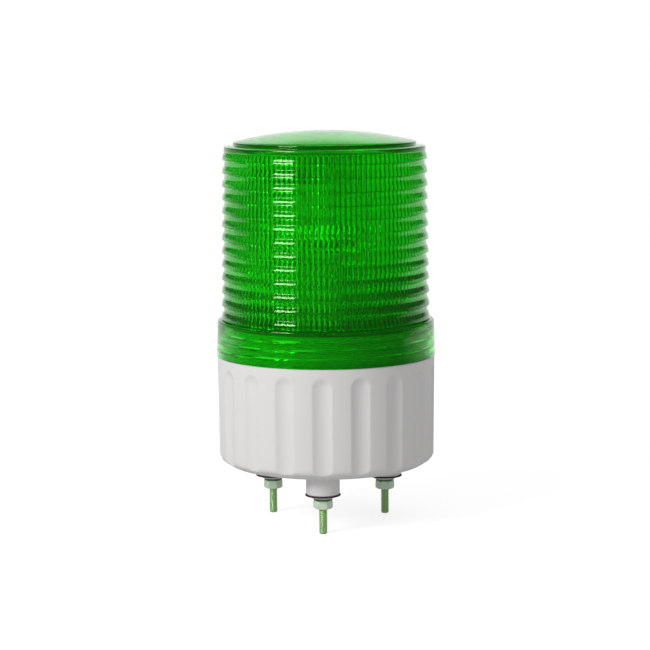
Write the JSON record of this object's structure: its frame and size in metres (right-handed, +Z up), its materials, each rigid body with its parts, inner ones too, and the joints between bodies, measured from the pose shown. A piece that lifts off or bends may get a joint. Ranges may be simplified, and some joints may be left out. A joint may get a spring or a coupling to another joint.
{
  "type": "rotating warning light",
  "caption": "Stud-mounted rotating warning light: a ribbed green globe on a fluted housing, with a turning reflector round a fixed bulb.",
  "frame": {"origin": "on the lamp axis, level with the tips of the three studs", "axes": "+Z up along the lamp axis; -Y is the front, where one stud is; +X is to the right"},
  "size_m": [0.1058, 0.1058, 0.19],
  "materials": {
    "housing": "satin light grey",
    "lens": "clear moulded green",
    "zinc": "zinc plated",
    "plate": "bright plated",
    "rubber": "moulded",
    "nylon": "natural",
    "insulation": "moulded",
    "brass": "machined",
    "mirror": "metallised, mirror bright",
    "bulb": "clear"
  },
  "bodies": {
    "base": {"base_housing": "housing", "cable_grommet": "rubber", "front_stud": "zinc", "front_packing": "rubber", "front_flat_washer": "zinc", "front_lock_washer": "zinc", "front_nut": "zinc", "right_stud": "zinc", "right_packing": "rubber", "right_flat_washer": "zinc", "right_lock_washer": "zinc", "right_nut": "zinc", "left_stud": "zinc", "left_packing": "rubber", "left_flat_washer": "zinc", "left_lock_washer": "zinc", "left_nut": "zinc", "chassis_plate": "plate", "chassis_screws": "zinc", "lamp_post": "plate", "post_screws": "zinc", "thrust_washer": "nylon", "post_clip": "zinc", "lamp_holder": "plate", "holder_insulator": "insulation", "bulb_cap": "brass", "bulb_glass": "bulb", "idler_pin": "plate", "idler_clip": "zinc", "motor_can": "plate", "motor_end_cap": "insulation", "motor_tabs": "brass", "motor_screws": "zinc", "terminal_block": "insulation", "terminal_screws": "brass", "block_screws": "zinc"},
    "reflector_carrier": {"carrier_gear": "nylon", "carrier_bush": "brass", "reflector": "mirror", "reflector_screws": "zinc"},
    "idler": {"idler_gear": "nylon"},
    "motor_rotor": {"motor_shaft": "plate", "motor_pinion": "brass"},
    "seal": {"globe_seal": "rubber"},
    "globe": {"globe": "lens"}
  },
  "joints": [
    {"name": "reflector_spin", "type": "hinge", "parent": "base", "child": "reflector_carrier", "pos_m": [0, 0, 0], "axis": [0, 0, 1], "continuous": true},
    {"name": "idler_spin", "type": "hinge", "parent": "base", "child": "idler", "pos_m": [-0.01143, 0.02567, 0], "axis": [0, 0, 1], "continuous": true},
    {"name": "motor_spin", "type": "hinge", "parent": "base", "child": "motor_rotor", "pos_m": [-0.02513, 0.01447, 0], "axis": [0, 0, 1], "continuous": true},
    {"name": "globe_lift", "type": "slide", "parent": "base", "child": "seal", "axis": [0, 0, 1], "range_m": [0, 0.009]},
    {"name": "globe_turn", "type": "hinge", "parent": "seal", "child": "globe", "pos_m": [0, 0, 0], "axis": [0, 0, 1], "range_deg": [0, 810]}
  ],
  "couplings": [
    {"joint": "idler_spin", "follows": "reflector_spin", "ratio": -3.6667},
    {"joint": "motor_spin", "follows": "reflector_spin", "ratio": 9.7778},
    {"joint": "globe_lift", "follows": "globe_turn", "m_per_rad": 0.00063662}
  ]
}
